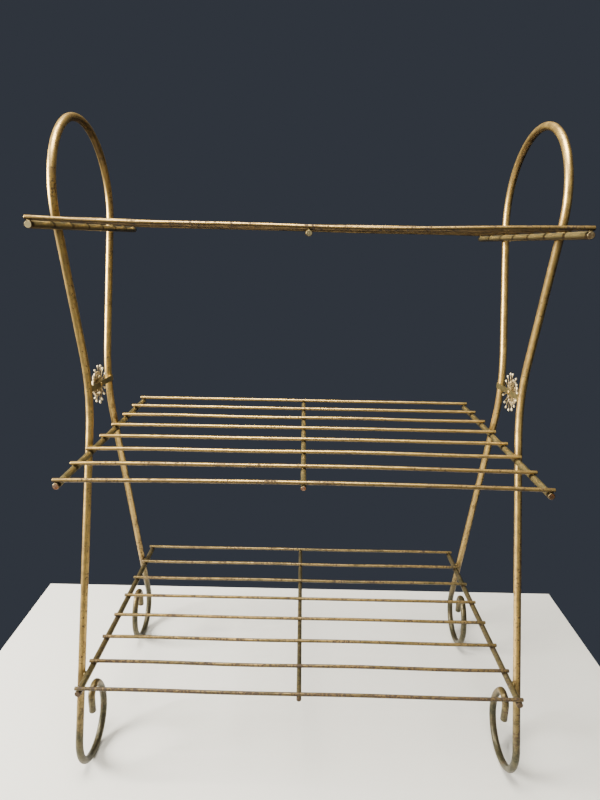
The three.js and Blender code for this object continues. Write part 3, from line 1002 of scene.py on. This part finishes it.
def stem_ring_tree():
    sizes = (
        "Start", "Reach", "Level", "Rise", "Stem", "Drop", "Drop Length", "First", "Jitter",
    )
    tree, given = shape_tree("stem ring", sizes, ["Count", "Seed", "Rings", "Sides"])
    line = unit_line(tree, given["Rings"])
    t = tree.add("GeometryNodeSplineParameter")
    length = given["Reach"] - given["Start"]
    from_tip = (1 - t) * length / given["Drop Length"]
    inside = tree.math("MINIMUM", from_tip, 1.0)
    swell = (inside ** 0.5) * (1 - inside) * DROP_SHAPE * given["Drop"]
    girth = tree.math("MAXIMUM", swell, given["Stem"] * tree.rise(from_tip, 0.0, 0.3))
    height = given["Level"] + given["Rise"] * (t ** STEM_CURVE)
    spot = tree.vector(x=given["Start"] + t * length, z=height)
    line = moved(tree, line, Position=spot)
    line = stored(tree, line, "girth", girth)
    line = stored(tree, line, "silver", 1 - tree.rise(from_tip, 0.75, 1.05))
    centres = tree.add("GeometryNodePoints", inputs={"Count": given["Count"]})
    which = tree.add("GeometryNodeInputIndex")
    drawn = luck(tree, (-1.0, -1.0, -1.0), (1.0, 1.0, 1.0), given["Seed"], ID=which)
    aside, up, shorter = tree.parts(drawn)
    angle = given["First"] + which * (2 * math.pi) / given["Count"] + aside * given["Jitter"]
    turn = tree.vector(y=up * given["Jitter"], z=angle)
    rotation = tree.add("FunctionNodeEulerToRotation", inputs={"Euler": turn})
    scale = tree.vector(1 - (1 - shorter) * given["Jitter"] * 0.5, 1.0, 1.0)
    stems = tree.add(
        "GeometryNodeInstanceOnPoints",
        inputs={"Points": centres, "Instance": line, "Rotation": rotation, "Scale": scale},
    )
    stems = tree.add("GeometryNodeRealizeInstances", inputs={"Geometry": stems})
    tubes = tube(tree, stems, 1.0, given["Sides"])
    end_shape(tree, given, tree.join(tubes, given["Geometry"]))
    return tree


stem_ring = stem_ring_tree()


# %% A tree for the cup's rim and petals
RIM_POINTS, RIM_SIDES = 180, 8
PETAL_TAPER = 0.35
PETAL_CUP = 1.6


def blossom_tree():
    sizes = (
        "Rim", "Scallop", "Wire", "Rim Level", "Petal Centre", "Petal Length", "Petal Width",
        "Petal Thickness", "Petal Level", "Lean",
    )
    tree, given = shape_tree("blossom", sizes, ["Lobes", "Petals"])
    ring = circle(tree, 1.0, RIM_POINTS)
    x, y = tree.parts(tree.add("GeometryNodeInputPosition"))[:2]
    turn = tree.math("ARCTAN2", y, x) * given["Lobes"] / 2
    reach = given["Rim"] + (abs(tree.math("COSINE", turn)) - 0.5) * given["Scallop"] * 2
    ring = moved(tree, ring, Position=tree.vector(x * reach, y * reach, given["Rim Level"]))
    section = circle(tree, given["Wire"], RIM_SIDES)
    rim = tree.add("GeometryNodeCurveToMesh", inputs={"Curve": ring, "Profile Curve": section})
    rim = stored(tree, rim, "silver", 1.0)
    leaf = tree.add("GeometryNodeMeshIcoSphere", inputs={"Radius": 1.0, "Subdivisions": 4})
    x, y, z = tree.parts(tree.add("GeometryNodeInputPosition"))
    edge = (x * x + y * y) ** 0.5
    leaf = stored(tree, leaf, "silver", tree.rise(edge, 0.80, 0.97))
    pointed = y * (1 - PETAL_TAPER * x)
    cupped = z + edge * edge * PETAL_CUP
    spot = tree.vector(
        x * given["Petal Length"] + given["Petal Centre"],
        pointed * given["Petal Width"],
        cupped * given["Petal Thickness"] + given["Petal Level"],
    )
    leaf = moved(tree, leaf, Position=spot)
    centres = tree.add("GeometryNodePoints", inputs={"Count": given["Petals"]})
    which = tree.add("GeometryNodeInputIndex")
    aim = tree.vector(y=-1 * given["Lean"], z=which * (2 * math.pi) / given["Petals"])
    rotation = tree.add("FunctionNodeEulerToRotation", inputs={"Euler": aim})
    petals = tree.add(
        "GeometryNodeInstanceOnPoints", inputs={"Points": centres, "Instance": leaf, "Rotation": rotation}
    )
    end_shape(tree, given, tree.join(rim, petals, given["Geometry"]))
    return tree


blossom = blossom_tree()


# %% A helper for turned pieces
def turned(name, profile, sides):
    """A closed mesh turned on a lathe round Z. The profile is (radius, height) from bottom to top."""
    vertices = [(0.0, 0.0, profile[0][1])]
    for radius, height in profile:
        for i in range(sides):
            angle = 2 * math.pi * i / sides
            vertices.append((radius * math.cos(angle), radius * math.sin(angle), height))
    vertices.append((0.0, 0.0, profile[-1][1]))
    faces = []
    top = len(vertices) - 1
    last = top - sides
    for i in range(sides):
        j = (i + 1) % sides
        faces.append((0, 1 + j, 1 + i))
        faces.append((top, last + i, last + j))
        for ring in range(len(profile) - 1):
            low = 1 + ring * sides
            faces.append((low + i, low + j, low + sides + j, low + sides + i))
    mesh = bpy.data.meshes.new(name)
    mesh.from_pydata(vertices, [], faces)
    mesh.shade_smooth()
    return mesh


# %% Finish of the rosettes
SILVER = (0.88, 0.74, 0.45)
SILVER_STAIN = (0.5, 0.45, 0.36)
STAIN_SIZE = 0.003
STAIN_LEVELS = (0.42, 0.62)


def drop_silver(name, stem, recess, drop):
    """Stems in dull gold with silvery drops, from the stored silver attribute."""
    material, tree, place = new_paint(name)
    silver = tree.add("ShaderNodeAttribute", {"attribute_name": "silver"}, output=2)
    mottle = noise(tree, place, STAIN_SIZE)
    stain = tree.rise(mottle, *STAIN_LEVELS)
    dull = tree.blend(stain, recess, stem)
    bright = tree.blend(stain * 0.35 + 0.65, SILVER_STAIN, drop)
    inputs = {
        "Base Color": tree.blend(silver, dull, bright),
        "Metallic": 0.55 + silver * 0.1,
        "Roughness": 0.42 - silver * 0.12 + (1 - stain) * 0.2,
    }
    return end_paint(material, tree, inputs, mottle, strength=0.3)


silver_drops = drop_silver("silver_drops", (0.60, 0.45, 0.20), OLIVE_BROWN, SILVER)
gold_drops = drop_silver("gold_drops", (0.60, 0.46, 0.24), OLIVE_BROWN, (0.78, 0.62, 0.36))

# %% Sizes of the rosettes
STAMENS = 15
SPRAY = {
    "Count": STAMENS, "Start": 5.0 * MM, "Reach": 27.4 * MM, "Level": 1.8 * MM, "Rise": 0.6 * MM,
    "Stem": 0.55 * MM, "Drop": 1.6 * MM, "Drop Length": 5.2 * MM, "First": math.pi / 2,
    "Jitter": 0.035, "Seed": 5, "Rings": 30, "Sides": 12,
}
CUP = {
    "Count": STAMENS, "Start": 4.0 * MM, "Reach": 17.5 * MM, "Level": 3.5 * MM, "Rise": 2.6 * MM,
    "Stem": 0.6 * MM, "Drop": 1.5 * MM, "Drop Length": 4.4 * MM,
    "First": math.pi / 2 + math.pi / STAMENS, "Jitter": 0.04, "Seed": 9, "Rings": 24, "Sides": 10,
}
BLOSSOM = {
    "Lobes": STAMENS, "Rim": 15.6 * MM, "Scallop": 0.9 * MM, "Wire": 1.4 * MM, "Rim Level": 5.0 * MM,
    "Petals": 8, "Petal Centre": 9.0 * MM, "Petal Length": 5.2 * MM, "Petal Width": 3.0 * MM,
    "Petal Thickness": 0.5 * MM, "Petal Level": 3.6 * MM, "Lean": 0.06,
}
SPRAY_HUB = [(r * MM, h * MM) for r, h in ((5.6, 0.9), (6.2, 1.2), (6.2, 2.0), (5.6, 2.3))]
CUP_HUB = [(r * MM, h * MM) for r, h in ((4.4, 2.9), (5.0, 3.1), (5.0, 3.9), (4.2, 4.2))]
RIVET = [
    (r * MM, h * MM)
    for r, h in (
        (2.2, -1.9), (2.7, -1.5), (2.8, -0.9), (1.6, -0.8), (1.6, 4.1),
        (4.0, 4.3), (4.2, 4.7), (3.9, 5.5), (3.0, 6.3), (1.6, 6.8), (0.4, 7.0),
    )
]
HUB_SIDES = 28
print("a spray is", round(2000 * SPRAY["Reach"], 1), "mm across and a cup", round(2000 * CUP["Reach"], 1))

# %% Make both rosettes
gilt_rivet = aged_gold("gilt_rivet", CREAM, TAN_GOLD, BROWN, DARK, wear=0.5, chips=0.3)

for side, sign in SIDES.items():
    seat = Vector((sign * (FRAME_PLANE - SEAT_SET_IN), 0, WAIST_HEIGHT))
    onto_seat = Matrix.Translation(seat) @ Matrix.Rotation(sign * math.pi / 2, 4, "Y")
    for part, ring, hub, metal in (
        ("spray", SPRAY, SPRAY_HUB, silver_drops), ("cup", CUP, CUP_HUB, gold_drops)
    ):
        start = turned(f"rosette_{part}_{side}_hub", hub, HUB_SIDES)
        if part == "cup":
            petals = grow(f"rosette_petals_{side}", blossom, {**BLOSSOM, "Material": metal}, start)
            start = petals.data
            bpy.data.objects.remove(petals)
        flower = grow(f"rosette_{part}_{side}_flower", stem_ring, {**ring, "Material": metal}, start)
        flower.data.transform(onto_seat)
        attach(flower, "root")
        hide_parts(f"rosette_{part}_{side}")
        print(flower.name, len(flower.data.polygons), "faces")
    pin = turned(f"rosette_rivet_{side}_turned", RIVET, HUB_SIDES)
    pin.materials.append(gilt_rivet)
    pin.transform(onto_seat)
    rivet = placed(pin.name, pin)
    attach(rivet, "root")
    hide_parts(f"rosette_rivet_{side}")

# %% [markdown]
# ## The floor and the light
#
# The rack stands on a plain pale floor in front of a dark slate backdrop, under soft light from one side.
# The backdrop is the colour of the world itself, so that nothing stands behind the rack.

# %% Floor
FLOOR_WIDTH, FLOOR_FRONT, FLOOR_BACK = 0.52, -0.60, 0.27
PALE_FLOOR = (0.94, 0.935, 0.88, 1)
floor_mesh = bpy.data.meshes.new("floor")
corners = [
    (-FLOOR_WIDTH, FLOOR_FRONT, 0), (FLOOR_WIDTH, FLOOR_FRONT, 0),
    (FLOOR_WIDTH, FLOOR_BACK, 0), (-FLOOR_WIDTH, FLOOR_BACK, 0),
]
floor_mesh.from_pydata(corners, [], [(0, 1, 2, 3)])
floor = placed("floor", floor_mesh)
floor_paint = bpy.data.materials.new("pale_floor")
floor_paint.use_nodes = True
floor_shader = floor_paint.node_tree.nodes["Principled BSDF"]
floor_shader.inputs["Base Color"].default_value = PALE_FLOOR
floor_shader.inputs["Roughness"].default_value = 0.7
floor_mesh.materials.append(floor_paint)
print("floor from", corners[0], "to", corners[2])

# %% Lights
SLATE = (0.036, 0.042, 0.055, 1)
world = bpy.data.worlds.new("studio")
world.use_nodes = True
background = world.node_tree.nodes["Background"]
background.inputs["Color"].default_value = SLATE
background.inputs["Strength"].default_value = 1.0
scene.world = world


def soft_light(name, place, target, size, power, colour):
    """A square area light that points at a target."""
    data = bpy.data.lights.new(name, "AREA")
    data.size = size
    data.energy = power
    data.color = colour
    lamp = placed(name, data)
    lamp.location = place
    lamp.rotation_euler = (Vector(target) - Vector(place)).to_track_quat("-Z", "Y").to_euler()
    print(name, "light:", power, "W")


soft_light("window", (-2.3, -0.55, 1.2), (0, 0, 0.45), size=1.0, power=190, colour=(1.0, 0.955, 0.87))
soft_light("ceiling", (-0.3, -0.3, 2.5), (0, 0, 0.4), size=1.1, power=100, colour=(1.0, 0.95, 0.85))
soft_light("fill", (1.6, -1.8, 0.9), (0, 0, 0.4), size=1.2, power=2, colour=(0.92, 0.96, 1.0))
